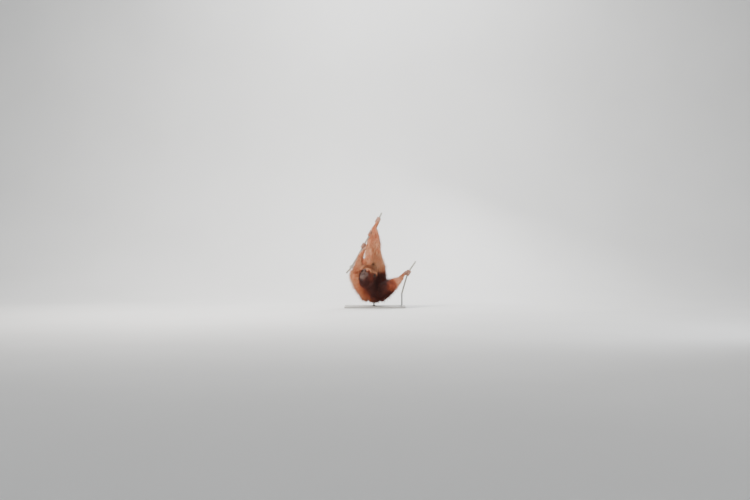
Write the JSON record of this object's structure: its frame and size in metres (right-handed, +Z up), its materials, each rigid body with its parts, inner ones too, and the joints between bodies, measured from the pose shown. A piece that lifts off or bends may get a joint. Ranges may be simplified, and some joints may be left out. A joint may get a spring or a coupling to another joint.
{
  "type": "orangutan",
  "caption": "Life-size adult female orangutan with a long shaggy coat, hanging from ropes by hands and feet, on a flat display stand.",
  "frame": {"origin": "middle of the underside of the stand's base", "axes": "+Z up along the longest extent, -Y the way the belly faces, +X the animal's left"},
  "size_m": [0.9458, 0.5997, 1.2502],
  "materials": {
    "coat": "long shaggy red-brown hair",
    "bare_skin": "dark grey-brown creased skin",
    "eye": "wet dark brown",
    "rope": "pale grey twisted rope, weathered",
    "base_paint": "matt dark grey paint",
    "rod": "satin steel"
  },
  "bodies": {
    "root": {"stand_base": "base_paint", "stand_rod_body": "rod", "stand_rod_rope": "rod", "perch_rope_main": "rope", "perch_rope_side": "rope", "eye_left": "eye", "eye_right": "eye", "head": "bare_skin", "ear_left": "bare_skin", "ear_right": "bare_skin", "torso": "coat", "neck": "coat", "upper_arm_left": "coat", "forearm_left": "coat", "thigh_left": "coat", "shank_left": "coat", "hand_left": "bare_skin", "foot_left": "bare_skin", "upper_arm_right": "coat", "forearm_right": "coat", "thigh_right": "coat", "shank_right": "coat", "hand_right": "bare_skin", "foot_right": "bare_skin"}
  },
  "joints": []
}
